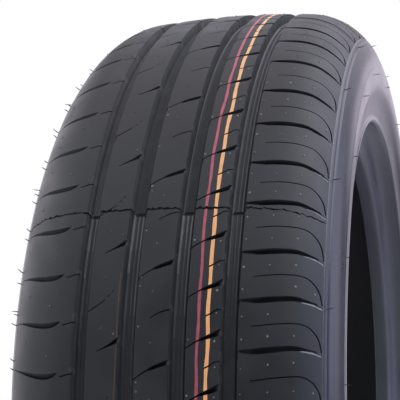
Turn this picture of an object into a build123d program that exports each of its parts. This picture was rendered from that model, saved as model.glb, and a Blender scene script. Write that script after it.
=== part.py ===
from build123d import *
import math
import os

os.makedirs("parts", exist_ok=True)

# A car tyre, standing up. The wheel's centre is the origin, the axle is Y and up is Z. Sizes are millimetres.

# Section, given by radii and by distances y from the mid plane: the tread falls in flats to the sidewalls
outer_radius = 316.0
crown_drop = 1.8
shoulder_drop = 5.0
tread_edge_drop = 24.3
sidewall_drop = 42.0
half_width = 107.2
shoulder_inset = 34.8
tread_edge_inset = 9.5

# Bead, which seats on the rim
bead_seat_radius = 202.8
bead_heel_y = 82.5
bead_width = 16.5
bead_height = 38.2

# Thickness of the walls
tread_thickness = 18.0
sidewall_thickness = 8.6
inner_shoulder_inset = 21.6
inner_widest_rise = 5.0

# Four grooves that run round the tread
inner_groove_y = 16.0
inner_groove_width = 10.0
outer_groove_y = 46.9
outer_groove_width = 9.6
groove_depth = 7.5

# Pitches of the tread pattern: three lengths, mixed so that the tyre runs quietly
first_pitch_angle = 1.76
pitch_lengths = {"S": 1.0, "M": 1.1, "L": 1.21}
pitch_sequence = (
    "MSSMSMMLMS"
    "LMLSLLMSLM"
    "LSLMLSLLMS"
    "LMLSLMLLSM"
    "LSLMLLSMLS"
    "LMLSMLSM"
)

# Cuts across the shoulders, with their places as parts of a pitch
right_cut_place = 0.05
right_cut_start_y = 56.0
right_cut_rise = 2.2
left_cut_place = 0.62
left_cut_start_y = -61.0
left_cut_rise = 2.5
shoulder_cut_margin = 0.8

# Slits that open from a rib into the groove on its right
slit_depth = 5.5
slit_rise = 3.9
slit_length = 10.0
right_slit_place = 0.385
centre_slit_place = 0.82
left_slit_place = 0.23

# Blades that cut both, V-shaped
blade_half_angle = 16.0
blade_height = 14.0

# Points of the section that follow from these
shoulder_radius = outer_radius - shoulder_drop
shoulder_y = half_width - shoulder_inset
tread_edge_radius = outer_radius - tread_edge_drop
tread_edge_y = half_width - tread_edge_inset
sidewall_top_radius = outer_radius - sidewall_drop
sidewall_bottom_radius = bead_seat_radius + bead_height
bead_toe_y = bead_heel_y - bead_width
inner_radius = outer_radius - tread_thickness
inner_widest_radius = (sidewall_top_radius + sidewall_bottom_radius) / 2 + inner_widest_rise
inner_widest_y = half_width - sidewall_thickness
inner_crown_y = inner_widest_y - inner_shoulder_inset


def crown_radius(y):
    """Radius of the tread between the outer grooves."""
    return outer_radius - crown_drop * (y / outer_groove_y) ** 2


def shoulder_surface(y):
    """Radius of the shoulder, which falls in two flats to the edge of the tread."""
    groove_side = (outer_groove_y, crown_radius(outer_groove_y))
    middle = (shoulder_y, shoulder_radius)
    edge = (tread_edge_y, tread_edge_radius)
    near, far = (groove_side, middle) if abs(y) < shoulder_y else (middle, edge)
    share = (abs(y) - near[0]) / (far[0] - near[0])
    return near[1] + share * (far[1] - near[1])


def pitch_places(part_of_pitch, first=0, step=1):
    """Locations round the axle, at this part of each pitch or of each second one."""
    unit = 360.0 / sum(pitch_lengths[letter] for letter in pitch_sequence)
    angle = first_pitch_angle
    places = []
    for number, letter in enumerate(pitch_sequence):
        pitch = unit * pitch_lengths[letter]
        if number % step == first:
            places.append(Location((0, 0, 0), (0, -(angle + part_of_pitch * pitch), 0)))
        angle += pitch
    return places


def blade(start, end):
    """V-shaped cutter whose edge runs from start to end, each given as radius, y and rise."""
    along = (end - start).normalized()
    outward = (Vector(1, 0, 0) - along * along.X).normalized()
    half_top = blade_height * math.tan(math.radians(blade_half_angle))
    with BuildPart() as cutter:
        with BuildSketch(Plane(origin=start, x_dir=outward.cross(along), z_dir=along)):
            with BuildLine():
                Polyline((0, 0), (half_top, blade_height), (-half_top, blade_height), close=True)
            make_face()
        extrude(amount=(end - start).length)
    return cutter.part


def slit_blade(groove_y, groove_width):
    """Blade of a slit that deepens over its length until it opens into the groove."""
    mouth_y = groove_y - groove_width / 2
    tip_y = mouth_y - slit_length
    tip = Vector(crown_radius(tip_y), tip_y, -slit_rise)
    mouth = Vector(crown_radius(mouth_y) - slit_depth, mouth_y, 0)
    into_groove = groove_width / 4 / slit_length
    return blade(tip, mouth + (mouth - tip) * into_groove)


def shoulder_blade(start_y, rise):
    """Blade of a closed cut across a shoulder, deepest in the middle."""
    end_y = math.copysign(tread_edge_y - shoulder_cut_margin, start_y)
    start = Vector(shoulder_surface(start_y), start_y, 0)
    end = Vector(shoulder_surface(end_y), end_y, rise)
    return blade(start, end)


with BuildPart() as tyre:
    # Hollow section, open at the bore
    with BuildSketch():
        with BuildLine():
            Polyline(
                (outer_radius, 0),
                (outer_radius, inner_groove_y),
                (crown_radius(outer_groove_y), outer_groove_y),
                (shoulder_radius, shoulder_y),
                (tread_edge_radius, tread_edge_y),
                (sidewall_top_radius, half_width),
                (sidewall_bottom_radius, half_width),
                (bead_seat_radius, bead_heel_y),
                (bead_seat_radius, bead_toe_y),
                (inner_widest_radius, inner_widest_y),
                (inner_radius, inner_crown_y),
                (inner_radius, 0),
                close=True,
            )
        make_face()
        mirror(about=Plane.XZ)
    revolve(axis=Axis.Y)

    # Grooves round the tread
    with BuildSketch():
        for groove_y, groove_width in (
            (inner_groove_y, inner_groove_width),
            (outer_groove_y, outer_groove_width),
        ):
            floor_radius = crown_radius(groove_y) - groove_depth
            with Locations((floor_radius, groove_y)):
                Rectangle(2 * groove_depth, groove_width, align=(Align.MIN, Align.CENTER))
        mirror(about=Plane.XZ)
    revolve(axis=Axis.Y, mode=Mode.SUBTRACT)

    # Cuts across the tread, pitch by pitch
    with Locations(*pitch_places(right_cut_place)):
        add(shoulder_blade(right_cut_start_y, right_cut_rise), mode=Mode.SUBTRACT)
    with Locations(*pitch_places(left_cut_place)):
        add(shoulder_blade(left_cut_start_y, left_cut_rise), mode=Mode.SUBTRACT)
    with Locations(*pitch_places(right_slit_place)):
        add(slit_blade(outer_groove_y, outer_groove_width), mode=Mode.SUBTRACT)
    with Locations(*pitch_places(centre_slit_place, first=0, step=2)):
        add(slit_blade(inner_groove_y, inner_groove_width), mode=Mode.SUBTRACT)
    with Locations(*pitch_places(left_slit_place, first=1, step=2)):
        add(slit_blade(-inner_groove_y, inner_groove_width), mode=Mode.SUBTRACT)

tyre.part.label = "tyre"
export_step(tyre.part, "parts/tyre.step")
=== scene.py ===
import math
import random

import bpy
import numpy as np
from mathutils import Matrix, Vector
from mathutils.geometry import delaunay_2d_cdt


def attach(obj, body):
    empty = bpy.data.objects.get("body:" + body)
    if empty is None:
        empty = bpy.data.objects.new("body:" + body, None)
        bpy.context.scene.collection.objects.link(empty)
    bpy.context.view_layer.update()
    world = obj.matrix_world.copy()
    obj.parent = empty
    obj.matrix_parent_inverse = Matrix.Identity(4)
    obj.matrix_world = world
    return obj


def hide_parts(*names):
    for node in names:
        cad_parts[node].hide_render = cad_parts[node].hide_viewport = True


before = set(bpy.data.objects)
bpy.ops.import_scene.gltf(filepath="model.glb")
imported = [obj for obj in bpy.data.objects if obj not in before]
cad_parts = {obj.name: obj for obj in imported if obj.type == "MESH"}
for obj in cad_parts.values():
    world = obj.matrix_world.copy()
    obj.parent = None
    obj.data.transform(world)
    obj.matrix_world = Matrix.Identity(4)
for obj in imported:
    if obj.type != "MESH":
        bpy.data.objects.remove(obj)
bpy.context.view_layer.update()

# All lengths are millimetres until a mesh is written, which is in metres.
MM = 0.001

# Section of the tread and the shoulders: radius at a distance y from the mid plane
RADIUS = 316.0
CROWN_ARC = 595.0
SHOULDER_Y, SHOULDER_R, SHOULDER_ARC = 55.2, 260.5, 52.9
BLEND_FROM, BLEND_TO = 47.0, 64.0
TREAD_EDGE = 98.4
GROOVE_DEPTH = 7.5
PER_DEGREE = math.radians(1.0) * RADIUS
GIRTH = 2 * math.pi * RADIUS


def crown(a):
    """Radius and slope of the flat arc between the shoulders, at a distance a from the mid plane."""
    return RADIUS - a * a / (2 * CROWN_ARC), -a / CROWN_ARC


def shoulder(a):
    """Radius and slope of the round shoulder, at a distance a from the mid plane."""
    across = a - SHOULDER_Y
    height = math.sqrt(SHOULDER_ARC ** 2 - across * across)
    return SHOULDER_R + height, -across / height


def section(y):
    """Radius of the surface at y, and its slope."""
    a = abs(y)
    if a <= BLEND_FROM:
        r, m = crown(a)
    elif a >= BLEND_TO:
        r, m = shoulder(a)
    else:
        (r0, m0), (r1, m1) = crown(BLEND_FROM), shoulder(BLEND_TO)
        h = BLEND_TO - BLEND_FROM
        t = (a - BLEND_FROM) / h
        r = ((2 * t ** 3 - 3 * t * t + 1) * r0 + (t ** 3 - 2 * t * t + t) * h * m0
             + (3 * t * t - 2 * t ** 3) * r1 + (t ** 3 - t * t) * h * m1)
        m = ((6 * t * t - 6 * t) * r0 / h + (3 * t * t - 4 * t + 1) * m0
             + (6 * t - 6 * t * t) * r1 / h + (3 * t * t - 2 * t) * m1)
    return r, math.copysign(m, -y) if y else 0.0


def lift(y, s, depth=0.0):
    """Point of the tread at y and s, which runs up round it, sunk by depth."""
    r = section(y)[0] - depth
    a = s / RADIUS
    return (r * math.cos(a), y, r * math.sin(a))


def lift_normal(y, s):
    """Normal of the tread at y and s."""
    m = section(y)[1]
    n = 1 / math.sqrt(1 + m * m)
    a = s / RADIUS
    return (n * math.cos(a), -m * n, n * math.sin(a))


# Pitches of the pattern: three lengths in a mixed order
PITCH_LENGTHS = {"S": 1.0, "M": 1.1, "L": 1.21}
PITCHES = "MSSMSMMLMSLMLSLLMSLMLSLMLSLLMSLMLSLMLLSMLSLMLLSMLSLMLSMLSM"
FIRST_PITCH = 1.76
unit = 360.0 / sum(PITCH_LENGTHS[letter] for letter in PITCHES)
pitch_starts = []
pitch_spans = []
angle = FIRST_PITCH
for letter in PITCHES:
    pitch_starts.append(angle)
    pitch_spans.append(unit * PITCH_LENGTHS[letter])
    angle += unit * PITCH_LENGTHS[letter]


def place(k, part):
    """How far round the tread, in mm, this part of pitch k is."""
    return (pitch_starts[k] + part * pitch_spans[k]) * PER_DEGREE


# Seams between the segments of the mould, each just before a pitch, in degrees
FIRST_SEAM = 25.1
SEAM_BEFORE = 0.65
SEGMENTS = 8
seam_angles = []
for n in range(SEGMENTS):
    wanted = FIRST_SEAM + 360.0 / SEGMENTS * n
    start = min(pitch_starts, key=lambda a: abs((a - wanted + 180) % 360 - 180))
    seam_angles.append(start - SEAM_BEFORE)


def segment(a):
    """Number of the mould's segment at an angle."""
    return sum((b % 360) <= a % 360 for b in seam_angles)


def below_seam(a):
    """Degrees from an angle up to the next seam."""
    return min((b - a) % 360 for b in seam_angles)


# Outlines of what is cut into the tread, as rows of y and s


def through(points, step=2.0):
    """A smooth line through the points."""
    p = np.array(points, float)
    p = np.vstack([2 * p[0] - p[1], p, 2 * p[-1] - p[-2]])
    line = []
    for i in range(1, len(p) - 2):
        a, b, c, d = p[i - 1:i + 3]
        count = max(1, int(round(np.hypot(*(c - b)[:2]) / step)))
        for t in np.arange(count) / count:
            line.append(0.5 * (2 * b + (c - a) * t + (2 * a - 5 * b + 4 * c - d) * t * t
                               + (3 * b - a - 3 * c + d) * t ** 3))
    line.append(p[-2])
    return np.array(line)


THINNEST = 0.12


def ribbon(points, step=2.0):
    """Outline of a slit along points of y, s and width."""
    line = through(points, step)
    along = np.gradient(line[:, :2], axis=0)
    along /= np.linalg.norm(along, axis=1)[:, None]
    side = np.stack([-along[:, 1], along[:, 0]], 1) * np.maximum(line[:, 2:3], THINNEST) / 2
    return np.vstack([line[:, :2] - side, (line[:, :2] + side)[::-1]])


def lens(lower, upper, step=2.5):
    """Outline between two lines that both run from the same end."""
    return np.vstack([through(lower, step), through(upper, step)[::-1]])


def clip(outline, low, high):
    """The part of an outline between two values of y."""
    for bound, keep in ((low, 1), (high, -1)):
        kept = []
        for i, b in enumerate(outline):
            a = outline[i - 1]
            inside_a, inside_b = (a[0] - bound) * keep >= 0, (b[0] - bound) * keep >= 0
            if inside_a != inside_b:
                t = (bound - a[0]) / (b[0] - a[0])
                kept.append((bound, a[1] + t * (b[1] - a[1])))
            if inside_b:
                kept.append(tuple(b))
        outline = kept
    return np.array(outline)


# Finishes of the mesh's faces: each is the place of a material in the list of the rubber's materials. Several are
# painted light and shade: highlights on chamfers and lines, shade on rounded edges, and paler rubber in cuts and
# grooves
(TREAD, CUT, FLOOR, WALL, SIDE, LINER, RED, ORANGE, GHOST, CHAMFER_HIGHLIGHT,
 PAINTED_SHADE, LINE_HIGHLIGHT, DULL, MIDDLE, FAINT, BEAD, SLOPE, PALE_WALL) = range(18)


class Shell:
    """Collects the faces of one mesh, each with its finish and the normals of its corners."""

    def __init__(self):
        self.points, self.faces, self.normals, self.finish = [], [], [], []

    def point(self, p):
        self.points.append(p)
        return len(self.points) - 1

    def face(self, ids, finish, normals=None):
        if normals is None:
            p = [np.array(self.points[i]) for i in ids]
            n = np.cross(p[1] - p[0], p[2] - p[0])
            if len(p) == 4:
                n = np.cross(p[2] - p[0], p[3] - p[1])
            size = np.linalg.norm(n)
            n = tuple(n / size) if size > 1e-12 else (0.0, 0.0, 1.0)
            normals = [n] * len(ids)
        self.faces.append(ids)
        self.finish.append(finish)
        self.normals.extend(normals)

    def build(self, name, materials):
        mesh = bpy.data.meshes.new(name)
        mesh.from_pydata([(x * MM, y * MM, z * MM) for x, y, z in self.points], [], self.faces)
        for m in materials:
            mesh.materials.append(m)
        mesh.polygons.foreach_set("material_index", self.finish)
        mesh.polygons.foreach_set("use_smooth", [True] * len(self.faces))
        mesh.normals_split_custom_set(self.normals)
        mesh.update()
        obj = bpy.data.objects.new(name, mesh)
        bpy.context.scene.collection.objects.link(obj)
        return obj


def near(points, outline, gap):
    """Which points lie inside an outline or nearer to it than gap."""
    low, high = outline.min(0) - gap, outline.max(0) + gap
    box = np.flatnonzero(((points >= low) & (points <= high)).all(1))
    if not len(box):
        return box
    p = points[box][:, None]
    a, b = outline[None], np.roll(outline, -1, 0)[None]
    d = b - a
    t = np.clip(((p - a) * d).sum(2) / np.maximum((d * d).sum(2), 1e-12), 0, 1)
    far = np.sqrt(((p - a - t[..., None] * d) ** 2).sum(2)).min(1)
    rise = np.where(d[..., 1] == 0, 1e-12, d[..., 1])
    crosses = ((a[..., 1] > p[..., 1]) != (b[..., 1] > p[..., 1])) & (
        p[..., 0] < a[..., 0] + (p[..., 1] - a[..., 1]) * d[..., 0] / rise)
    return box[(far < gap) | (crosses.sum(1) % 2 == 1)]


def ready(outline, start):
    """An outline that runs anticlockwise and lies beyond the place where the rib's ring is closed."""
    x, y = outline.T
    if np.dot(x, np.roll(y, -1)) < np.dot(y, np.roll(x, -1)):
        outline = outline[::-1]
    return outline + np.array([0.0, GIRTH * (y.mean() < start)])


# Walls of the grooves: how far they lean, the radius of their foot and how flat their rounded edge is
WALL_LEAN, FILLET, ROUNDING = 0.3, 1.0, 0.4
SKIRT = 1.2


def groove_wall(edge, side, floor, soft, finishes):
    """Rows of a groove's wall below a rib's edge, which is rounded over soft: depth, y, the normal in y and radius,
    and the finish above the row. The first row is the end of the rib's surface, and the last three are the end of
    the straight wall and its foot. The finishes are those of the rounding below its top, which is painted shade, the
    wall and its foot, each a number or a function of the angle."""
    upper, wall, foot = finishes
    rows = []
    for a in (0, 35, 65, 90) if soft > 1 else (0, 40, 90):
        c, s = math.cos(math.radians(a)), math.sin(math.radians(a))
        size = math.hypot(s * ROUNDING, c)
        normal = (side * s * ROUNDING / size, c / size)
        rows.append((soft * ROUNDING * (1 - c), edge + side * soft * (s - 1), normal, upper if a > 40 else TREAD))
    straight = section(edge)[0] - floor - FILLET
    rows.append((straight, edge + side * WALL_LEAN, (side, 0.05), wall))
    for a in (45, 90):
        c, s = math.cos(math.radians(a)), math.sin(math.radians(a))
        rows.append((straight + FILLET * s, edge + side * (WALL_LEAN + FILLET * (1 - c)), (side * c, s), foot))
    return rows


def skirt(bound, side):
    """Rows of the short edge that joins the tread to a sidewall."""
    return [(0.0, bound, (side, 0.0), WALL), (SKIRT, bound, (side, 0.0), WALL)]


class Strip:
    """One rib: its surface with the features cut in, their walls and floors, and the walls of its two sides.

    start is where the ring of the rib is closed, in mm round the tread. A feature is (outline, depth, finish), with
    depth a function of y and s. A band is (line of lower edge, line of upper edge, finish), painted on; its finish
    is a number or a function of s. A kind is the number of a feature, or PLAIN for the surface between them."""

    PLAIN = -1
    COLUMN = 6.8
    FEATURE_GAP, BAND_GAP = 0.9, 0.8
    WELD = 1e-4
    ON_EDGE = 0.01
    LEVEL = 0.05
    SILL = 0.25

    def __init__(self, shell, low, high, start, rows, features, bands):
        self.shell, self.low, self.high, self.bands = shell, low, high, bands
        self.seams = {n for n, feature in enumerate(features) if feature[1] is seam_depth}
        self.features = [(ready(outline, start), depth, finish) for outline, depth, finish in features]
        self.made = {}
        self.sides = {}
        self.plan(start, rows)
        self.build_surface()
        self.build_cut_walls()

    def plan(self, start, rows):
        """Triangles of the rib, laid flat in y and s, and the kind of each."""
        columns = int(round(GIRTH / self.COLUMN))
        ss = start + GIRTH * np.arange(columns + 1) / columns
        points = [(self.low, s) for s in ss] + [(self.high, s) for s in ss]
        edges = [(i, i + 1) for i in range(columns)] + [(columns + 1 + i, columns + 2 + i) for i in range(columns)]
        for end in (0, columns):
            line = [end] + list(range(len(points), len(points) + len(rows))) + [columns + 1 + end]
            points += [(y, ss[end]) for y in rows]
            edges += list(zip(line[:-1], line[1:]))
        grid = np.array([(y, (ss[i] + ss[i + 1]) / 2 if n % 2 else ss[i])
                         for n, y in enumerate(rows) for i in range(0 if n % 2 else 1, columns)])
        points += [tuple(p) for p in grid[~self.crowded(grid)]]
        polygons = []
        for outline, _, _ in self.features:
            polygons.append(list(range(len(points), len(points) + len(outline))))
            points += [tuple(p) for p in outline]
        for lower, upper, _ in self.bands:
            for line in (lower, upper):
                ids = list(range(len(points), len(points) + len(line)))
                points += [tuple(p) for p in line]
                edges += list(zip(ids[:-1], ids[1:]))
        flat, _, self.faces, _, _, inside = delaunay_2d_cdt(
            [Vector(p) for p in points], edges, polygons, 0, self.WELD, True)
        self.flat = [(v.x, v.y) for v in flat]
        self.kinds = []
        for ids, within in zip(self.faces, inside):
            y, s = np.mean([self.flat[i] for i in ids], axis=0)
            deepest = max(within, key=lambda f: self.features[f][1](y, s)) if within else self.PLAIN
            self.kinds.append(deepest)

    def crowded(self, grid):
        """Which points of the grid lie too near to a feature or a band's edge."""
        drop = np.zeros(len(grid), bool)
        for outline, _, _ in self.features:
            drop[near(grid, outline, self.FEATURE_GAP)] = True
        for lower, upper, _ in self.bands:
            for line in (lower, upper):
                drop |= np.abs(grid[:, 0] - np.interp(grid[:, 1], line[:, 1], line[:, 0])) < self.BAND_GAP
        return drop

    def sunk(self, v, kind):
        """Depth of a kind at the flat point v."""
        return self.features[kind][1](*self.flat[v]) if kind >= 0 else 0.0

    def corner(self, v, kind):
        """Point of the mesh for the flat point v on a kind."""
        if (v, kind) not in self.made:
            self.made[v, kind] = self.shell.point(lift(*self.flat[v], self.sunk(v, kind)))
        return self.made[v, kind]

    def paint(self, y, s):
        """Finish of the plain surface at y and s."""
        finish = TREAD
        for lower, upper, paint in self.bands:
            if np.interp(s, lower[:, 1], lower[:, 0]) < y < np.interp(s, upper[:, 1], upper[:, 0]):
                finish = paint(round_to(s)) if callable(paint) else paint
        return finish

    def build_surface(self):
        for ids, kind in zip(self.faces, self.kinds):
            (ya, sa), (yb, sb), (yc, sc) = (self.flat[i] for i in ids[:3])
            if (yb - ya) * (sc - sa) - (yc - ya) * (sb - sa) < 0:
                ids = ids[::-1]
            if kind == self.PLAIN:
                finish = self.paint(*np.mean([self.flat[i] for i in ids], axis=0))
            else:
                finish = self.features[kind][2]
            tilted = kind >= 0 and finish in (CHAMFER_HIGHLIGHT, SLOPE)
            normals = None if tilted else [lift_normal(*self.flat[i]) for i in ids]
            self.shell.face([self.corner(i, kind) for i in ids], finish, normals)
            for a, b in zip(ids, ids[1:] + ids[:1]):
                self.sides[a, b] = kind

    def build_cut_walls(self):
        """Walls between two kinds that meet at different depths."""
        for (a, b), kind in self.sides.items():
            other = self.sides.get((b, a), kind)
            here, there = (self.sunk(a, k) + self.sunk(b, k) for k in (kind, other))
            if kind != other and (here, kind) < (there, other):
                ids = [self.corner(b, kind), self.corner(a, kind), self.corner(a, other), self.corner(b, other)]
                self.shell.face(ids, CUT)

    def hang(self, bound, wall):
        """The wall below the edge at y = bound, from its rows. A slit that opens there has a sill just below its
        floor, so that it doesn't notch the wall to its foot. Seams do."""
        edge = [(pair, kind) for pair, kind in self.sides.items() if pair[::-1] not in self.sides
                and max(abs(self.flat[v][0] - bound) for v in pair) < self.ON_EDGE]
        met = {}
        for pair, kind in edge:
            for v in pair:
                met.setdefault(v, set()).add(kind)
        straight = len(wall) - 3
        hung = {}

        def wall_point(v, depth, y):
            t = self.flat[v][1] / RADIUS
            r = section(bound)[0] - depth
            return self.shell.point((r * math.cos(t), y, r * math.sin(t)))

        def row_point(v, n):
            """Point of row n below the edge's point v, and its normal."""
            depth, y, (ny, nr), _ = wall[n]
            t = self.flat[v][1] / RADIUS
            if (v, n) not in hung:
                hung[v, n] = wall_point(v, depth, y)
            return hung[v, n], (nr * math.cos(t), ny, nr * math.sin(t))

        sills = {}
        for v, kinds in met.items():
            if straight > 0 and max(kinds) >= 0 and kinds.isdisjoint(self.seams):
                (d0, y0), (d1, y1) = wall[straight - 1][:2], wall[straight][:2]
                depth = max(d0, *(self.sunk(v, k) for k in kinds)) + self.SILL
                y = y0 + (y1 - y0) * (depth - d0) / (d1 - d0)
                sills[v] = wall_point(v, depth, y), row_point(v, straight)[1]

        def face(loop, finish):
            ids, normals = zip(*loop)
            self.shell.face(list(ids), finish, list(normals))

        for (a, b), kind in edge:
            upper = [(self.corner(v, kind), row_point(v, 0)[1]) for v in (a, b)]
            for n in range(1, len(wall)):
                if wall[n][0] <= max(self.sunk(a, kind), self.sunk(b, kind)) + self.LEVEL:
                    continue
                if n == straight and kind >= 0 and a in sills and b in sills:
                    face([upper[1], upper[0], sills[a], sills[b]], CUT)
                    upper = [sills[a], sills[b]]
                lower = [row_point(v, n) for v in (a, b)]
                loop = [upper[1], upper[0], lower[0], lower[1]]
                if n == straight and upper[0] != sills.get(a):
                    loop[4:] = [sills[b]] if b in sills else []
                    loop[2:2] = [sills[a]] if a in sills else []
                finish = wall[n][3]
                if callable(finish):
                    finish = finish(self.flat[a][1] / PER_DEGREE)
                face(loop, CUT if kind in self.seams else finish)
                upper = lower
        for v, kinds in met.items():
            shallow, deep = (pick(kinds, key=lambda k: self.sunk(v, k)) for pick in (min, max))
            passed = [n for n in range(1, len(wall)) if self.sunk(v, shallow) + self.LEVEL < wall[n][0]]
            kept = [n for n in passed if wall[n][0] > self.sunk(v, deep) + self.LEVEL]
            gap = [n for n in passed if n not in kept] + kept[:1]
            if self.sunk(v, deep) - self.sunk(v, shallow) > self.LEVEL and gap:
                line = [sills[v][0] if v in sills and n == straight else row_point(v, n)[0] for n in gap]
                self.shell.face([self.corner(v, shallow)] + line + [self.corner(v, deep)], CUT)


# Depths of what is cut in, as functions of y and s


def constant(depth):
    return lambda y, s: depth


def along_y(places, depths):
    """Depth that changes along y between the places, which rise, and stays so beyond."""
    return lambda y, s: float(np.interp(y, places, depths))


SHALLOWEST = 0.05


def sloped(lower, upper, deep):
    """Depth that falls from a cut's upper line to its lower one, for s from the cut's place."""
    low, high = np.array(lower[::-1]), np.array(upper[::-1])

    def depth(y, s):
        a, b = np.interp(y, low[:, 0], low[:, 1]), np.interp(y, high[:, 0], high[:, 1])
        return max(SHALLOWEST, deep(y, s) * (1 - min(max((s - a) / max(b - a, 0.3), 0.0), 1.0)))

    return depth


def at(outline, s):
    return outline + np.array([0.0, s])


def round_to(s):
    """A distance round the tread, the shorter way."""
    return (s + GIRTH / 2) % GIRTH - GIRTH / 2


# Ribs, from left to right, between the four grooves. A rib's flat surface ends where its rounded edge begins.
GROOVES = [(-50.6, -42.4), (-21.5, -11.2), (10.4, 20.6), (41.6, 51.7)]
LEFT_SOFT, RIGHT_SOFT = [2.4, 0.7, 0.7, 0.7], [0.7, 0.7, 0.7, 0.7]
rib_ends = [-TREAD_EDGE]
for (low, high), left_soft, right_soft in zip(GROOVES, LEFT_SOFT, RIGHT_SOFT):
    rib_ends += [low - left_soft, high + right_soft]
rib_ends.append(TREAD_EDGE)
RIBS = list(zip(rib_ends[::2], rib_ends[1::2]))
rng = random.Random(5)
count = len(PITCHES)
features = [[] for _ in RIBS]

# Where in a pitch each cut lies
LENS_PLACE = 0.62
WEDGE_PLACE = 0.23
LEFT_THIN_PLACE = 0.80
CENTRE_PLACE = 0.82
RIGHT_LONG_PLACE = 0.385
RIGHT_SHORT_PLACE = 0.845
RIGHT_CUT_PLACE = 0.0
RIGHT_SIPE_PLACE = 0.49

# Shapes of the cuts, with s from their place
LEFT_LOWER = [(-60.6, -0.3), (-63.2, -2.9), (-66.5, -4.2), (-70, -4.6), (-76, -4.1), (-82, -2.7), (-90, -0.1),
              (-97.6, 2.2)]
LEFT_UPPER = [(-60.6, -0.3), (-66, -0.9), (-70, -1.0), (-76, -0.8), (-86, 0.7), (-92, 1.6), (-97.6, 2.6)]
left_lens = lens(LEFT_LOWER, LEFT_UPPER)
left_sipe = ribbon([(-59.4, -2.8, 0.6), (-56, -2.0, 0.8), (-52.4, -0.9, 0.8), (-50, -1.6, 0.6)], 1.5)
left_wedge = ribbon([(-35.4, -7.2, 0.5), (-31, -5.2, 0.9), (-26, -2.7, 1.9), (-23.5, -1.2, 3.0), (-19, 1.1, 3.6)])
left_thin = ribbon([(-44, -1.4, 0.7), (-37, 3.4, 0.8), (-31.6, 7.2, 0.5)])
left_dots = [ribbon([(-30.2, 8.8, 0.5), (-28.8, 10.4, 0.5)]),
             ribbon([(-27.6, 12.0, 0.5), (-26.6, 13.6, 0.4)])]
centre_long = ribbon([(-14, -13.2, 0.8), (-11, -11.0, 0.8), (-7, -7.9, 0.8), (-2.6, -5.3, 0.9), (-0.8, -4.5, 2.1),
                      (4, -2.6, 2.6), (9, -0.9, 3.0), (13, 0.2, 3.1)])
centre_short = ribbon([(-2.2, -5.2, 0.5), (2.6, -2.4, 0.8), (7.2, -0.7, 0.8), (12.5, -0.2, 0.7)])
right_long = ribbon([(18, -12.2, 0.7), (20.8, -10.1, 0.8), (25, -7.2, 0.9), (28.4, -5.4, 1.0), (30.0, -4.7, 1.9),
                     (35, -2.9, 2.8), (40, -0.8, 3.6), (44, 0.6, 3.6)])
right_short = ribbon([(32.0, -4.9, 0.9), (36, -2.8, 0.9), (38.8, -0.9, 0.8), (43, -1.0, 0.7)])
right_cut = lens([(50, -0.8), (52.3, -0.8), (56, -1.1), (60, -1.7), (68, -1.0), (75, 0.1), (86, 1.7), (95.4, 1.4)],
                 [(50, 0.7), (52.3, 0.8), (56, 1.3), (62, 2.1), (68, 3.0), (75, 3.8), (84, 4.5), (95.4, 2.2)])


def right_sipe(k):
    """Curved sipe of pitch k, which ends at the cut below it."""
    down = 1.8 - (RIGHT_SIPE_PLACE - RIGHT_CUT_PLACE) * pitch_spans[k] * PER_DEGREE
    return ribbon([(59.4, 0, 0.5), (66, 0.9, 0.7), (72, 1.8, 0.75), (84, 3.1, 0.75), (89.5, 2.5, 0.75),
                   (93.6, -0.6, 0.8), (96.2, -5, 0.8), (97.3, -10, 0.75), (97.8, down, 0.7)], 1.8)


# Strip that slopes into the right end of each cut, finished pale: a painted highlight on its chamfer
right_chamfer = np.array([(84, 1.4), (88, 1.8), (90, 1.9), (93, 1.7), (95.4, 1.25), (98.1, 0.3), (98.1, -1.3),
                          (95.4, -0.4), (93, 0.2), (90, 0.7), (87, 1.0)])

lens_depth = sloped(LEFT_LOWER, LEFT_UPPER, along_y([-97.6, -80], [0.5, 2.8]))
right_depth = along_y([51, 58, 62, 84, 95.4], [2.2, 2.5, 5.5, 4.5, 1.0])
sipe_depth = constant(3.0)
CHAMFER_DEPTH, CHAMFER_SLOPE = 0.6, 0.35

# Slits that open into the groove on the right of their rib: depth inside, and at the mouth, towards which it rises
SLIT_DEPTHS, THIN_DEPTHS = (5.5, 1.1), (3.0, 0.7)
MOUTH_LENGTH = 3.5


def slit(rib, outline, s, depths=THIN_DEPTHS):
    """Adds a slit to a rib, cut off at the rib's ends."""
    mouth = RIBS[rib][1]
    depth = along_y([mouth - MOUTH_LENGTH, mouth], depths)
    features[rib].append((clip(at(outline, s), *RIBS[rib]), depth, CUT))


for k in range(count):
    even = k % 2 == 0
    s = place(k, LENS_PLACE)
    # The sloped cut is a little darker than the tread: painted shade
    features[0].append((at(left_lens, s), lambda y, t, s=s: lens_depth(y, round_to(t - s)), SLOPE))
    slit(0, left_sipe, s)
    if not even:
        slit(1, left_wedge, place(k, WEDGE_PLACE), SLIT_DEPTHS)
        for part in (left_thin, *left_dots):
            slit(1, part, place(k, LEFT_THIN_PLACE))
    if even:
        slit(2, centre_long, place(k, CENTRE_PLACE), SLIT_DEPTHS)
    else:
        slit(2, centre_short, place(k, CENTRE_PLACE))
    slit(3, right_long, place(k, RIGHT_LONG_PLACE), SLIT_DEPTHS)
    slit(3, right_short, place(k, RIGHT_SHORT_PLACE))
    s = place(k, RIGHT_CUT_PLACE)
    features[4].append((clip(at(right_cut, s), *RIBS[4]), right_depth, CUT))
    features[4].append((at(right_sipe(k), place(k, RIGHT_SIPE_PLACE)), sipe_depth, CUT))
    # The chamfer by the cut is finished pale, as a painted highlight
    features[4].append((at(right_chamfer, s), lambda y, t, s=s: max(
        SHALLOWEST, CHAMFER_DEPTH + CHAMFER_SLOPE * round_to(t - s)), CHAMFER_HIGHLIGHT))

# Where each rib's ring is closed: nothing is cut there
CLOSED = [place(0, 0.12), place(1, 0.55), place(0, 0.25), place(0, 0.62), place(0, 0.78)]

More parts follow.
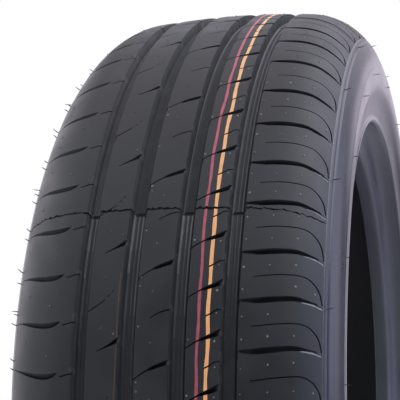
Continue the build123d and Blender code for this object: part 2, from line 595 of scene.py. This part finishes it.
# Jagged seams of the mould across each rib
seam_depth = constant(1.5)
SEAM_WIDTHS = [0.8, 1.2, 1.2, 1.1, 0.7]
SEAM_SWAY = 0.6
for (low, high), cuts, start, wide in zip(RIBS, features, CLOSED, SEAM_WIDTHS):
    for a in seam_angles:
        s = start + (a * PER_DEGREE - start) % GIRTH
        line = []
        y = low - 1.0
        while y < high + 2.0:
            line.append((y, s + rng.uniform(-SEAM_SWAY, SEAM_SWAY), wide * rng.choice((0.8, 1.1, 1.4, 2.0))))
            y += rng.uniform(0.6, 1.6)
        p = np.array(line)
        half = np.c_[p[:, 2] * 0, p[:, 2] / 2]
        cuts.append((clip(np.vstack([p[:, :2] - half, (p[:, :2] + half)[::-1]]), low, high), seam_depth, CUT))

# Painted lines, a little wavy: waves round the tread of a line's middle and of its width
SWAY_WAVES, WIDTH_WAVES = (9, 14, 23, 31, 47, 58), (37, 71, 90, 113, 131, 160)
WIDTH_SWAY = 0.35
LINE_POINTS = 500


def painted(y, width, sway, start, seed):
    """Lower and upper edge of a line at y."""
    wave = random.Random(seed)
    phases = [wave.uniform(0, 6.3) for _ in SWAY_WAVES]
    s = start + GIRTH * np.linspace(0, 1, LINE_POINTS)
    t = (s - start) / GIRTH * 2 * math.pi
    middle = y + sway * sum(np.sin(n * t + f) for n, f in zip(SWAY_WAVES, phases))
    edge = WIDTH_SWAY * sway * sum(np.sin(n * t + f) for n, f in zip(WIDTH_WAVES, phases[::-1]))
    return np.c_[middle - width / 2 - edge, s], np.c_[middle + width / 2 + edge, s]


# The trace is seen only along the lower front, between two angles
TRACE_FROM, TRACE_TO = -60, 16.6


def trace_finish(s):
    return GHOST if TRACE_FROM < s / PER_DEGREE < TRACE_TO else TREAD


bands = [[] for _ in RIBS]
bands[1] = [(*painted(-23.0, 0.5, 0.05, CLOSED[1], 3), trace_finish)]
bands[3] = [(*painted(27.6, 1.75, 0.14, CLOSED[3], 1), RED), (*painted(33.5, 2.25, 0.14, CLOSED[3], 2), ORANGE)]

rubber = Shell()
floor_r = [section((a + b) / 2)[0] - GROOVE_DEPTH for a, b in GROOVES]

# Rows of points along each rib, by their y
RIGHT_ROWS = [57, 62, 67, 72, 76.5, 80.5, 84, 87, 90, 92.5, 94.5, 96.2, 97.6]
ROWS = [[-y for y in RIGHT_ROWS[::-1]], [-37, -32, -27], [-6, -0.5, 5], [25, 30.6, 37], RIGHT_ROWS]

# Finishes of the four grooves, from left to right: painted shade on the rounded edges, and walls, feet and floors in
# copies of the rubber paler than the tread, which is painted light in the grooves' shade. Every second segment of
# the mould is dull. In the others, painted highlights on the lines along the floor fade in steps, at about these
# angles
# below the seam: each line fades a little sooner or later than the next, in steps of FADE_SPREAD degrees. FAINTER is
# the step at which a groove's lines begin.
ROUNDINGS = (SLOPE, PAINTED_SHADE, PAINTED_SHADE, PAINTED_SHADE)
WALLS = (PALE_WALL, FLOOR, WALL, WALL)
DULL_WALLS = (MIDDLE, DULL, FLOOR, WALL)
DULL_FEET = (FAINT, DULL, FAINT, MIDDLE)
DULL_FLOORS = (FAINT, DULL, DULL, DULL)
DULL_LINES = (FAINT, DULL, DULL, MIDDLE)
FADE = (LINE_HIGHLIGHT, MIDDLE, FAINT, FLOOR)
FADE_ANGLES = (8, 16, 28)
FAINTER = (0, 0, 0, 1)
FADE_SPREAD = 1.7


def line_finish(groove, a, sooner=0.0):
    """Finish of a line along a groove's floor, a painted highlight that fades in steps, or None where the floor is
    dull.
    """
    if segment(a) % 2:
        return None
    step = FAINTER[groove] + sum(below_seam(a) + sooner > b for b in FADE_ANGLES)
    return FADE[min(step, len(FADE) - 1)]


def wall_finish(groove):
    """Finish of a groove's wall, as a function of the angle: a copy of the rubber paler than the tread, which is
    painted light in the groove's shade.
    """
    return lambda a: (DULL_WALLS if segment(a) % 2 else WALLS)[groove]


def foot_finish(groove):
    """Finish of the foot of a groove's left wall, as a function of the angle: the lines' painted highlight, or a
    paler copy of the rubber where the floor is dull, which is painted light.
    """
    return lambda a: line_finish(groove, a) or DULL_FEET[groove]


for n, (low, high) in enumerate(RIBS):
    # Below each rib's edges hang the grooves' walls: painted shade on their rounding, and painted light in their
    # paler walls and feet
    wall_low, wall_high = skirt(low, -1), skirt(high, 1)
    if n > 0:
        finishes = PAINTED_SHADE, wall_finish(n - 1), wall_finish(n - 1)
        wall_low = groove_wall(GROOVES[n - 1][1], -1, floor_r[n - 1], RIGHT_SOFT[n - 1], finishes)
    if n < len(GROOVES):
        finishes = ROUNDINGS[n], wall_finish(n), foot_finish(n)
        wall_high = groove_wall(GROOVES[n][0], 1, floor_r[n], LEFT_SOFT[n], finishes)
    strip = Strip(rubber, low, high, CLOSED[n], ROWS[n], features[n], bands[n])
    strip.hang(low, wall_low)
    strip.hang(high, wall_high)


# Rings round the axle, and the notches of the seams in them: half widths at their floor and mouth, in degrees, and
# their depth
LATHE_COLUMNS = 180
NOTCH_FLOOR, NOTCH_MOUTH, NOTCH_DEPTH = 0.2, 0.24, 1.2


def lathe(profile, finish, notches=()):
    """A ring from a profile of y and radius, with the finish of each stretch as a function of its number and the
    angle. The surface is on the left of the profile's direction in y and radius. notches are angles in degrees with
    a narrow cut across."""
    angles = [(360.0 * i / LATHE_COLUMNS, 0.0) for i in range(LATHE_COLUMNS)]
    for a in notches:
        for way in (-1, 1):
            angles += [(a % 360 + way * NOTCH_MOUTH, 0.0), (a % 360 + way * NOTCH_FLOOR, NOTCH_DEPTH)]
    angles.sort()
    p = np.array(profile, float)
    along = np.gradient(p, axis=0)
    side = np.stack([along[:, 1], -along[:, 0]], 1)
    side /= np.linalg.norm(side, axis=1)[:, None]
    turns = [(math.cos(math.radians(a)), math.sin(math.radians(a))) for a, _ in angles]
    rings = [[rubber.point(((r - cut) * c, y, (r - cut) * s)) for y, r in p]
             for (_, cut), (c, s) in zip(angles, turns)]
    for i in range(len(rings)):
        j = (i + 1) % len(rings)
        cut = angles[i][1] or angles[j][1]
        for n in range(len(p) - 1):
            ids = [rings[i][n], rings[i][n + 1], rings[j][n + 1], rings[j][n]]
            normals = [(-side[m][1] * turns[q][0], -side[m][0], -side[m][1] * turns[q][1])
                       for m, q in ((n, i), (n + 1, i), (n + 1, j), (n, j))]
            rubber.face(ids, CUT if cut else finish(n, angles[i][0]), normals)


# Floors of the grooves, with fine raised lines along them, each given by its place from the wall's foot and its half
# width; the lines carry painted highlights. The floor reaches a little under the walls, and beside the right one it
# is painted shade.
FLOOR_LINES = ((0.0, 0.6), (2.2, 0.45), (4.9, 0.4))
LINE_HEIGHT = 0.3
UNDER_WALL, UNDER_DEPTH = 0.3, 0.05
DARK_EDGE, LINE_MARGIN = 1.6, 1.8
FOOT_STRETCHES = 2
for groove, ((low, high), r) in enumerate(zip(GROOVES, floor_r)):
    low, high = low + WALL_LEAN + FILLET, high - WALL_LEAN - FILLET
    profile = [(low - UNDER_WALL, r - UNDER_DEPTH)]
    finish = [LINE_HIGHLIGHT]
    for y, wide in FLOOR_LINES:
        if low + y + 2 * wide < high - LINE_MARGIN:
            profile += [(low + y, r), (low + y + wide, r + LINE_HEIGHT), (low + y + 2 * wide, r)]
            finish += [LINE_HIGHLIGHT, LINE_HIGHLIGHT if y else FLOOR, FLOOR]
    profile += [(high - DARK_EDGE, r), (high + UNDER_WALL, r - UNDER_DEPTH)]
    finish.append(PAINTED_SHADE)

    def floor_finish(n, a, groove=groove, kinds=finish):
        """Finish of a stretch of the floor: each line's painted highlight fades at its own place."""
        if kinds[n] == PAINTED_SHADE:
            return PAINTED_SHADE
        line = line_finish(groove, a, FADE_SPREAD * (n * 5 % 7 - 3))
        if line is None:
            lines = DULL_FEET if n < FOOT_STRETCHES else DULL_LINES
            return lines[groove] if kinds[n] == LINE_HIGHLIGHT else DULL_FLOORS[groove]
        return line if kinds[n] == LINE_HIGHLIGHT else FLOOR

    lathe(profile, floor_finish, seam_angles)

# Sidewalls, as points of y and radius from the tread down. ARC is the round shoulder, as angles from the crown and
# how far each point stands out, with a ridge and a line by the tread. Then come the ridge above the rim, the recess
# for the rim's flange and the bead's seat, and the inside on the way back up.
ARC = [(54.2, -0.9), (54.7, -0.1), (55.1, 0.15), (55.7, 0.25), (57.3, 0.25), (58.0, 0.15), (58.5, -0.1),
       (59.0, -0.15), (59.5, 0.05), (60.2, 0.25), (61.2, 0.3), (62.4, 0.2), (64.0, 0.05), (66, 0), (69, 0), (72, 0),
       (75, 0), (78, 0), (80.5, 0), (82.0, 0.05), (82.8, 0.2), (83.6, 0.22), (84.4, 0.05), (86, 0), (88, 0), (90, 0)]
LOWER_WALL = [(107.9, 257), (107.4, 253), (106.7, 250), (105.9, 247.5), (105.0, 245), (104.0, 242), (103.1, 238.5),
              (102.4, 235), (101.8, 231.5)]
RIM_RIDGE = [(101.4, 229.2), (101.7, 228.2), (102.2, 227.4), (102.4, 226.4), (102.1, 225.2), (101.2, 224.4)]
RECESS = [(99.6, 223.8), (97.4, 223.2), (94.6, 222.2), (91.8, 220.8), (89.6, 219.0), (88.1, 216.8), (87.1, 213.8)]
BEAD_SEAT = [(86.4, 210.4), (85.8, 207.2), (85.0, 205.2), (83.9, 203.9), (82.4, 203.2), (80.0, 202.9), (76.4, 202.5),
             (73.6, 202.2), (72.4, 202.5), (72.0, 203.4)]
INSIDE = [(72.8, 207.5), (75.2, 213), (79.0, 220.5), (84.2, 229.5), (89.5, 240), (94.8, 250), (97.8, 258),
          (98.6, 264), (97.8, 271), (95.2, 278.5), (90.8, 285.5), (85, 291), (78, 295), (70, 297.2), (60, 298),
          (30, 298.6), (0, 298.8)]
# The radius below which the wall is the bead's, and the stretch of ARC that carries a painted highlight line
BEAD_TOP = 224.0
BRIGHT_STRETCH = 1
profile = []
for theta, proud in ARC:
    t = math.radians(theta)
    arc = SHOULDER_ARC + proud
    profile.append((SHOULDER_Y + arc * math.sin(t), SHOULDER_R + arc * math.cos(t)))
profile += LOWER_WALL + RIM_RIDGE + RECESS + BEAD_SEAT
wall_finishes = [BEAD if r < BEAD_TOP else SIDE for _, r in profile[:-1]]
wall_finishes[BRIGHT_STRETCH] = LINE_HIGHLIGHT
profile += INSIDE
wall_finishes += [LINER] * len(INSIDE)
lathe(profile[::-1], lambda n, a: wall_finishes[-1 - n])
lathe([(-y, r) for y, r in profile], lambda n, a: wall_finishes[n])

# Nubs left where the mould was vented: y, part of a pitch, and which pitches have one
ALL, ODD, EVEN = 0, 1, 2
NUBS = [(53.6, 0.24, ALL), (69.2, 0.30, ALL), (83.4, 0.34, ALL), (53.6, 0.69, ALL), (69.2, 0.76, ALL),
        (83.4, 0.81, ALL), (94.0, 0.28, EVEN), (38.2, 0.21, ALL), (38.2, 0.73, ALL), (21.9, 0.21, ALL),
        (-9.4, 0.46, ALL), (-9.4, 0.30, EVEN), (-1.3, 0.18, ALL), (-33.0, 0.48, ALL), (-25.0, 0.36, ODD),
        (-87.0, 0.21, ALL), (-87.0, 0.93, ALL), (-69.0, 0.21, ALL), (-69.0, 0.93, ALL), (-54.5, 0.68, ALL)]
NUB_RINGS = ((1.15, -0.1), (1.0, 0.22), (0.6, 0.36))
NUB_SIDES = 8


def nub_chances(y):
    """Chances that a nub at y gets the dimmer painted highlight and that it is missing: on the left ribs both are
    likely.
    """
    if y < -20:
        return 0.8, 0.35
    return (0.95 if -5 < y < 0 else 0.15), 0.1


def nub(y, s, size, dull):
    """A low round nub, in rings of relative width and height."""
    out = np.array(lift_normal(y, s))
    up = np.array([-math.sin(s / RADIUS), 0.0, math.cos(s / RADIUS)])
    across = np.cross(up, out)
    base = np.array(lift(y, s))
    rings = []
    for wide, high in NUB_RINGS:
        rings.append([nubs.point(tuple(base + out * high + size * wide * (up * math.cos(f) + across * math.sin(f))))
                      for f in np.radians(np.arange(0, 360, 360 // NUB_SIDES))])
    for lower, upper in zip(rings[:-1], rings[1:]):
        for i in range(NUB_SIDES):
            nubs.face([lower[i], lower[i - 1], upper[i - 1], upper[i]], dull)
    nubs.face(rings[-1], dull)


nubs = Shell()
for k in range(count):
    for y, part, pitches in NUBS:
        y, s, size = y + rng.uniform(-0.4, 0.4), place(k, part) + rng.uniform(-0.8, 0.8), rng.uniform(0.38, 0.72)
        dull_chance, missing_chance = nub_chances(y)
        dull = int(rng.random() < dull_chance)
        if pitches and k % 2 != pitches % 2 or rng.random() < missing_chance:
            continue
        nub(y, s, size, dull)

# Hairs of rubber from the vents: rings of a strand, by their place along it and their width, and a direction that no
# hair has
HAIR_RINGS = ((-0.15, 1.0), (0.3, 0.95), (0.65, 0.8), (1.0, 0.35))
HAIR_SIDES = 5
ASKEW = (0.31, 0.42, 0.85)
hairs = Shell()


def hair(base, way, bend, length, thick):
    """A tapered, bent strand."""
    base, way, bend = (np.array(v, float) for v in (base, way, bend))
    way /= np.linalg.norm(way)
    side = np.cross(way, ASKEW)
    side /= np.linalg.norm(side)
    other = np.cross(way, side)
    rings = []
    for t, wide in HAIR_RINGS:
        middle = base + way * length * t + bend * length * t * abs(t)
        rings.append([hairs.point(tuple(middle + thick * wide * (side * math.cos(f) + other * math.sin(f))))
                      for f in np.radians(np.arange(0, 360, 360 // HAIR_SIDES))])
    for lower, upper in zip(rings[:-1], rings[1:]):
        for i in range(HAIR_SIDES):
            hairs.face([lower[i - 1], lower[i], upper[i], upper[i - 1]], 0)
    hairs.face(rings[-1], 0)


def on_sidewall(theta, angle, side):
    """Point of a sidewall and its normal; theta runs from the crown to the widest place."""
    t, a = math.radians(theta), math.radians(angle)
    r = SHOULDER_R + SHOULDER_ARC * math.cos(t)
    out = (math.cos(t) * math.cos(a), side * math.sin(t), math.cos(t) * math.sin(a))
    return (r * math.cos(a), side * (SHOULDER_Y + SHOULDER_ARC * math.sin(t)), r * math.sin(a)), out


# Two hairs stand by each cut in the left shoulder. Others stand in pairs, one on each side, by the edge of the tread
# and near the widest place. Each kind has its theta and its radius.
BY_CUT, BY_EDGE, AT_WIDEST = (57.0, 0.38), (58.5, 0.33), (88.0, 0.3)
PAIRS = 20
FIRST_PAIR, WIDEST_SHIFT = 13.6, 8.8
theta, thick = BY_CUT
for k in range(count):
    for further in (0.4, 1.7):
        angle = pitch_starts[k] + LENS_PLACE * pitch_spans[k] + further + rng.uniform(-0.15, 0.15)
        base, out = on_sidewall(theta, angle, -1)
        up = np.array((-math.sin(math.radians(angle)), 0.0, math.cos(math.radians(angle))))
        way = np.array(out) + up * rng.uniform(0.15, 0.45)
        hair(base, way, up * rng.uniform(-0.15, 0.25), rng.uniform(2.8, 5.4), thick)
for k in range(PAIRS):
    angle = FIRST_PAIR + 360.0 / PAIRS * k + rng.uniform(-0.6, 0.6)
    for side in (-1, 1):
        theta, thick = BY_EDGE
        base, out = on_sidewall(theta, angle, side)
        way = np.array(out) * 0.4 + np.array((rng.uniform(-0.05, 0.05), side, rng.uniform(-0.05, 0.15)))
        hair(base, way, (0, 0, rng.uniform(-0.05, 0.1)), rng.uniform(4.0, 5.5), thick)
        theta, thick = AT_WIDEST
        base, out = on_sidewall(theta, angle - WIDEST_SHIFT, side)
        hair(base, out, (0, 0, rng.uniform(-0.2, 0.2)), rng.uniform(2.2, 3.6), thick)


# Materials: scale of the grain and its height in metres, and the noise at which patches have their end colours
GRAIN_SCALE, GRAIN_HEIGHT = 1500.0, 0.0002
PATCH_ENDS = (0.3, 0.72)


def add_node(nodes, kind, **values):
    """A new node, with values for its inputs; an underscore stands for a space in their names."""
    node = nodes.new("ShaderNode" + kind)
    for name, value in values.items():
        node.inputs[name.replace("_", " ")].default_value = value
    return node


def material(name, colour, roughness, specular=0.5):
    """A plain material, with its nodes, links and shader."""
    m = bpy.data.materials.new(name)
    m.use_nodes = True
    shader = m.node_tree.nodes["Principled BSDF"]
    shader.inputs["Base Color"].default_value = (*colour, 1)
    shader.inputs["Roughness"].default_value = roughness
    shader.inputs["Specular IOR Level"].default_value = specular
    return m, m.node_tree.nodes, m.node_tree.links, shader


def mottled(name, dark, light, roughness, spread, scale, bump=0.15, specular=0.5):
    """Rubber with soft patches between two colours, whose roughness varies by spread, and a fine grain."""
    m, nodes, links, shader = material(name, dark, roughness, specular)
    where = add_node(nodes, "TexCoord").outputs["Object"]
    patches = add_node(nodes, "TexNoise", Scale=scale, Detail=6, Roughness=0.6)
    links.new(where, patches.inputs["Vector"])
    colours = add_node(nodes, "ValToRGB")
    for stop, position, colour in zip(colours.color_ramp.elements, PATCH_ENDS, (dark, light)):
        stop.position, stop.color = position, (*colour, 1)
    links.new(patches.outputs["Fac"], colours.inputs["Fac"])
    links.new(colours.outputs["Color"], shader.inputs["Base Color"])
    low, high = roughness - spread, roughness + spread
    rough = add_node(nodes, "MapRange", From_Min=0.3, From_Max=0.7, To_Min=low, To_Max=high)
    links.new(patches.outputs["Fac"], rough.inputs["Value"])
    links.new(rough.outputs["Result"], shader.inputs["Roughness"])
    grain = add_node(nodes, "TexNoise", Scale=GRAIN_SCALE, Detail=3)
    links.new(where, grain.inputs["Vector"])
    raised = add_node(nodes, "Bump", Strength=bump, Distance=GRAIN_HEIGHT)
    links.new(grain.outputs["Fac"], raised.inputs["Height"])
    links.new(raised.outputs["Normal"], shader.inputs["Normal"])
    return m


# In the order of the finishes: dark and light colour, roughness, its spread, and the scale of the patches
materials = [
    mottled("tread_rubber", (0.026, 0.027, 0.030), (0.036, 0.037, 0.040), 0.52, 0.08, 38.0),
    # Paler than the tread's rubber: painted light inside the slits, seams and notches, which lie in shade
    mottled("cut_rubber", (0.054, 0.054, 0.060), (0.070, 0.070, 0.077), 0.7, 0.05, 60.0),
    # The floors and walls of the grooves, and the tread's side edges, are paler than the tread's rubber: painted
    # light in their shade
    mottled("groove_floor", (0.054, 0.055, 0.059), (0.076, 0.077, 0.083), 0.5, 0.08, 60.0),
    mottled("groove_wall", (0.046, 0.047, 0.050), (0.066, 0.067, 0.072), 0.7, 0.08, 60.0, specular=0.3),
    mottled("sidewall_rubber", (0.030, 0.031, 0.038), (0.040, 0.042, 0.051), 0.29, 0.03, 26.0, bump=0.06),
    mottled("inner_liner", (0.022, 0.022, 0.026), (0.032, 0.032, 0.037), 0.55, 0.08, 40.0),
    mottled("red_line", (0.46, 0.10, 0.135), (0.64, 0.145, 0.19), 0.5, 0.06, 240.0),
    mottled("orange_line", (0.34, 0.32, 0.16), (0.42, 0.42, 0.25), 0.5, 0.06, 240.0),
    mottled("orange_trace", (0.09, 0.054, 0.029), (0.20, 0.11, 0.036), 0.5, 0.06, 120.0),
    # Painted highlight on the chamfers at the right ends of the cuts
    mottled("chamfer_highlight", (0.20, 0.20, 0.206), (0.32, 0.32, 0.326), 0.45, 0.06, 90.0),
    # Painted shade on the rounded edges of the grooves and beside their right walls
    mottled("painted_shade", (0.010, 0.0104, 0.0115), (0.015, 0.0155, 0.017), 0.65, 0.06, 60.0, specular=0.35),
    # Painted highlights on the raised lines of the groove floors and on a line of the sidewall by the tread
    mottled("line_highlight", (0.19, 0.191, 0.198), (0.32, 0.321, 0.328), 0.42, 0.06, 90.0),
    # Paler again, in steps, for the grooves in the dull segments and for the lines on their floors: painted light,
    # and painted highlights on the lines
    mottled("dull_floor", (0.075, 0.077, 0.082), (0.11, 0.112, 0.118), 0.75, 0.06, 60.0, specular=0.25),
    mottled("middle_painted_light", (0.11, 0.111, 0.116), (0.17, 0.171, 0.177), 0.45, 0.06, 90.0),
    mottled("faint_painted_light", (0.070, 0.071, 0.075), (0.11, 0.111, 0.116), 0.45, 0.06, 90.0),
    mottled("bead_rubber", (0.056, 0.058, 0.069), (0.075, 0.078, 0.092), 0.42, 0.06, 26.0),
    # A little darker than the tread, for the sloped cuts of the left shoulder and the rounding of the first groove:
    # painted shade
    mottled("slope_shade", (0.022, 0.0228, 0.0251), (0.0324, 0.0335, 0.0366), 0.65, 0.06, 60.0, specular=0.35),
    # Paler still, for the first groove's wall: painted light
    mottled("pale_wall", (0.085, 0.087, 0.093), (0.12, 0.122, 0.13), 0.7, 0.08, 60.0, specular=0.3),
]
# The orange paint is given a faint glow: painted light, which makes it brighter than the lamps alone do
painted_glow = materials[ORANGE].node_tree.nodes["Principled BSDF"]
painted_glow.inputs["Emission Color"].default_value = (1.0, 0.28, 0.06, 1)
painted_glow.inputs["Emission Strength"].default_value = 0.5
tyre = rubber.build("tyre_rubber", materials)
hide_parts("tyre")
# The nubs are far paler than the rubber: painted highlights, dimmer on the dull nubs
vents = nubs.build("vent_nubs", [
    mottled("nub_rubber", (0.22, 0.222, 0.23), (0.42, 0.422, 0.43), 0.5, 0.08, 300.0),
    mottled("dull_nub_rubber", (0.11, 0.111, 0.115), (0.19, 0.192, 0.197), 0.5, 0.08, 300.0),
])
strands = hairs.build("vent_hairs", [
    mottled("hair_rubber", (0.020, 0.021, 0.023), (0.035, 0.036, 0.039), 0.6, 0.08, 300.0),
])
for piece in (tyre, vents, strands):
    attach(piece, "root")

# Floor, in metres
FLOOR_RADIUS, FLOOR_CORNERS = 1.9, 96
ground = bpy.data.meshes.new("floor")
turns = [2 * math.pi * n / FLOOR_CORNERS for n in range(FLOOR_CORNERS)]
corners = [(FLOOR_RADIUS * math.cos(a), FLOOR_RADIUS * math.sin(a), -RADIUS * MM) for a in turns]
ground.from_pydata(corners, [], [range(FLOOR_CORNERS)])
pale = material("floor_paint", (0.62, 0.62, 0.63), 0.8)[0]
ground.materials.append(pale)
floor = bpy.data.objects.new("floor", ground)
bpy.context.scene.collection.objects.link(floor)

# Background: white to the camera, and almost no light on the tyre
world = bpy.data.worlds.new("studio")
bpy.context.scene.world = world
world.use_nodes = True
nodes, links = world.node_tree.nodes, world.node_tree.links
nodes.clear()
seen = add_node(nodes, "Background", Color=(1, 1, 1, 1), Strength=1.0)
lit = add_node(nodes, "Background", Color=(0.93, 0.95, 1.0, 1), Strength=0.02)
path, mix, out = (add_node(nodes, kind) for kind in ("LightPath", "MixShader", "OutputWorld"))
links.new(path.outputs["Is Camera Ray"], mix.inputs["Fac"])
links.new(lit.outputs["Background"], mix.inputs[1])
links.new(seen.outputs["Background"], mix.inputs[2])
links.new(mix.outputs["Shader"], out.inputs["Surface"])


def softbox(name, at, to, size, power, colour):
    """An area light at one place, turned to another, which the camera doesn't see."""
    light = bpy.data.lights.new(name, "AREA")
    light.shape = "RECTANGLE"
    light.size, light.size_y = size
    light.energy = power
    light.color = colour
    obj = bpy.data.objects.new(name, light)
    obj.location = at
    obj.rotation_euler = (Vector(to) - Vector(at)).to_track_quat("-Z", "Y").to_euler()
    obj.visible_camera = False
    bpy.context.scene.collection.objects.link(obj)


softbox("top_back_light", (-0.7, 0.0, 1.7), (0.1, 0, 0.1), (2.0, 2.0), 8.6, (0.95, 0.92, 1.0))
softbox("top_light", (0.2, 0.0, 1.9), (0.1, 0, 0.1), (2.0, 2.0), 5.2, (0.99, 0.90, 1.0))
softbox("front_high_light", (1.6, 0.3, 1.9), (0.1, 0, 0.1), (1.4, 1.4), 11.2, (0.86, 0.90, 1.0))
softbox("back_light", (-1.6, 0.2, 1.2), (0.1, 0, 0.1), (2.0, 1.6), 7.2, (0.92, 0.84, 1.0))
softbox("left_high_light", (0.5, -1.3, 1.4), (0.1, 0, 0.1), (1.4, 1.4), 7.2, (0.90, 0.91, 1.0))
softbox("left_back_light", (-0.7, -1.5, 0.5), (0.1, 0, 0), (1.2, 1.8), 10.6, (1.0, 0.92, 0.97))
softbox("left_light", (0.1, -1.8, 0.3), (0.1, 0, 0), (1.2, 1.8), 6.2, (0.87, 0.91, 1.0))
softbox("left_front_light", (1.2, -1.5, 0.6), (0.1, 0, 0), (1.2, 1.8), 7.2, (0.90, 0.96, 1.0))
softbox("right_high_light", (0.5, 1.4, 1.4), (0.1, 0, 0.1), (1.4, 1.4), 17.2, (0.90, 0.93, 1.0))
softbox("right_top_light", (-0.5, 1.0, 1.5), (0.1, 0, 0.1), (1.2, 1.2), 7.5, (0.88, 0.88, 1.0))
softbox("right_back_light", (-0.7, 1.6, 0.7), (0.1, 0, 0), (1.2, 1.8), 11.5, (0.75, 0.76, 1.0))
softbox("right_light", (0.2, 1.8, 0.5), (0.1, 0, 0), (1.2, 1.8), 6.8, (0.50, 0.62, 1.0))
softbox("backdrop_light", (-2.2, 0.35, 0.35), (0.0, 0.1, 0.1), (1.5, 1.2), 5.0, (0.92, 0.84, 1.0))
softbox("backdrop_left_light", (-2.0, -0.9, 0.45), (0.0, -0.1, 0.1), (1.5, 1.4), 18.0, (0.80, 0.85, 1.0))

# Camera, fitted to the photo for a tyre of another radius: its place, in mm, is scaled to this one
FITTED_RADIUS = 317.0
EYE = (995.3, 212.5, 60.2)
YAW_PITCH_ROLL = (14.97, -5.894, 0.293)
FOCAL_PIXELS, PHOTO_PIXELS, SENSOR = 1185.9, 400.0, 36.0
eye = Vector(EYE) * (RADIUS / FITTED_RADIUS) * MM
yaw, pitch, roll = (math.radians(a) for a in YAW_PITCH_ROLL)
forward = Vector((-math.cos(yaw) * math.cos(pitch), -math.sin(yaw) * math.cos(pitch), -math.sin(pitch)))
right = forward.cross(Vector((0, 0, 1))).normalized()
down = forward.cross(right)
right, down = right * math.cos(roll) + down * math.sin(roll), down * math.cos(roll) - right * math.sin(roll)
lens_data = bpy.data.cameras.new("camera")
lens_data.sensor_width = SENSOR
lens_data.lens = FOCAL_PIXELS * SENSOR / PHOTO_PIXELS
lens_data.clip_start = 0.01
camera = bpy.data.objects.new("camera", lens_data)
camera.matrix_world = Matrix.Translation(eye) @ Matrix((right, -down, -forward)).transposed().to_4x4()
bpy.context.scene.collection.objects.link(camera)
bpy.context.scene.camera = camera
bpy.context.scene.view_settings.view_transform = "Standard"
